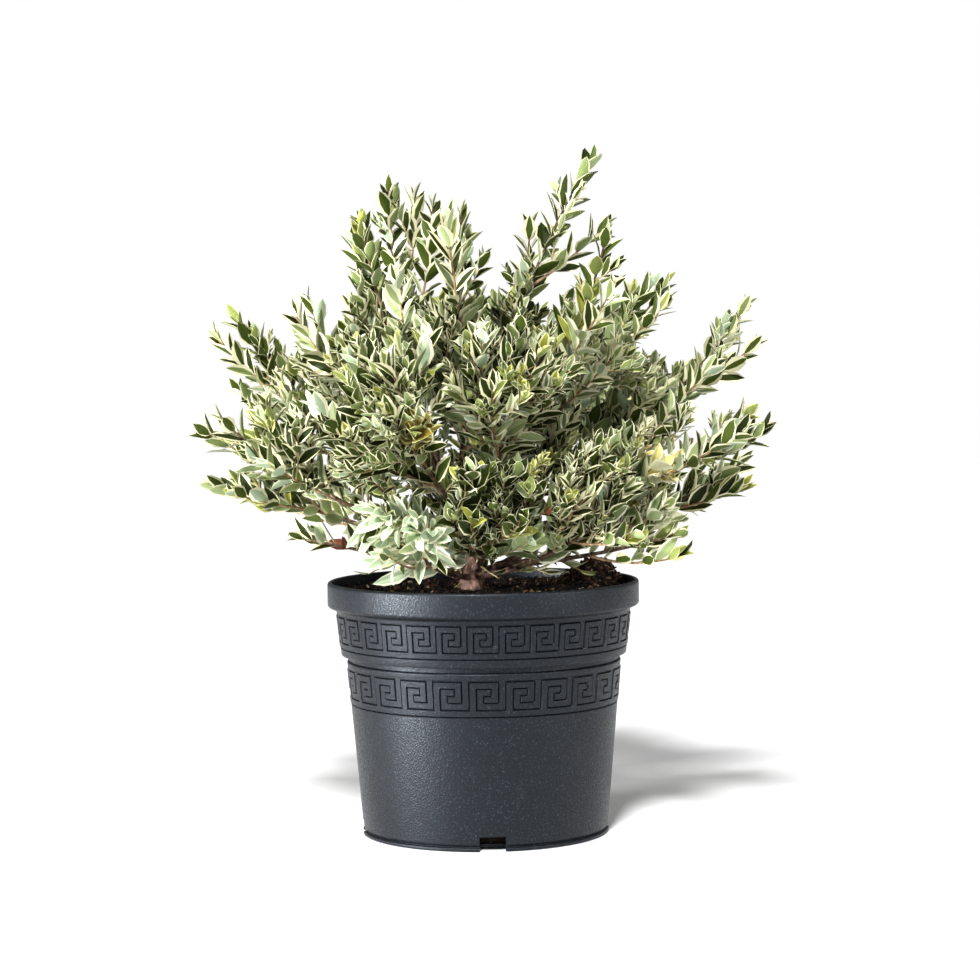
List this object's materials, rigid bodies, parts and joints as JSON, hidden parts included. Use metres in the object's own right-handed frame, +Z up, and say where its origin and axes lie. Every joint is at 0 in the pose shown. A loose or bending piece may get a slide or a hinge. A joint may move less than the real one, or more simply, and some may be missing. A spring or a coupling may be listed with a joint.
{
  "type": "potted myrtle shrub",
  "caption": "Dwarf variegated myrtle shrub with upswept shoots and small cream-edged leaves, on a short trunk in a round tapered nursery pot.",
  "frame": {"origin": "middle of the pot's flat underside, on the surface that it stands on", "axes": "+Z up, +X to the right of the picture's view, +Y to the back"},
  "size_m": [0.39, 0.3196, 0.4796],
  "materials": {
    "pot_plastic": "fine sandy matte charcoal",
    "potting_mix": "crumbly damp bark and peat",
    "bark": "dull brown bark, finely fissured",
    "leaves": "leathery leaves, green with cream margins"
  },
  "bodies": {
    "root": {"bough_inner_fore": "bark", "bough_low_back": "bark", "bough_low_back_left": "bark", "bough_low_back_right": "bark", "bough_low_fore": "bark", "bough_low_fore_left": "bark", "bough_low_fore_right": "bark", "bough_low_left": "bark", "bough_low_left_fore": "bark", "bough_low_right": "bark", "bough_low_right_fore": "bark", "bough_mid_back": "bark", "bough_mid_back_left": "bark", "bough_mid_back_right": "bark", "bough_mid_fore": "bark", "bough_mid_fore_left": "bark", "bough_mid_left": "bark", "bough_mid_left_fore": "bark", "bough_mid_right": "bark", "bough_mid_right_fore": "bark", "bough_top_back_right": "bark", "bough_top_fore": "bark", "bough_top_left": "bark", "bough_top_left_back": "bark", "bough_top_left_fore": "bark", "bough_top_right": "bark", "bough_top_tall": "bark", "bough_upper_right": "bark", "foliage_inner_fore": "leaves", "foliage_low_back": "leaves", "foliage_low_back_left": "leaves", "foliage_low_back_right": "leaves", "foliage_low_fore": "leaves", "foliage_low_fore_left": "leaves", "foliage_low_fore_right": "leaves", "foliage_low_left": "leaves", "foliage_low_left_fore": "leaves", "foliage_low_right": "leaves", "foliage_low_right_fore": "leaves", "foliage_mid_back": "leaves", "foliage_mid_back_left": "leaves", "foliage_mid_back_right": "leaves", "foliage_mid_fore": "leaves", "foliage_mid_fore_left": "leaves", "foliage_mid_left": "leaves", "foliage_mid_left_fore": "leaves", "foliage_mid_right": "leaves", "foliage_mid_right_fore": "leaves", "foliage_top_back_right": "leaves", "foliage_top_fore": "leaves", "foliage_top_left": "leaves", "foliage_top_left_back": "leaves", "foliage_top_left_fore": "leaves", "foliage_top_right": "leaves", "foliage_top_tall": "leaves", "foliage_upper_right": "leaves", "pot": "pot_plastic", "potting_mix": "potting_mix", "trunk": "bark"}
  },
  "joints": []
}
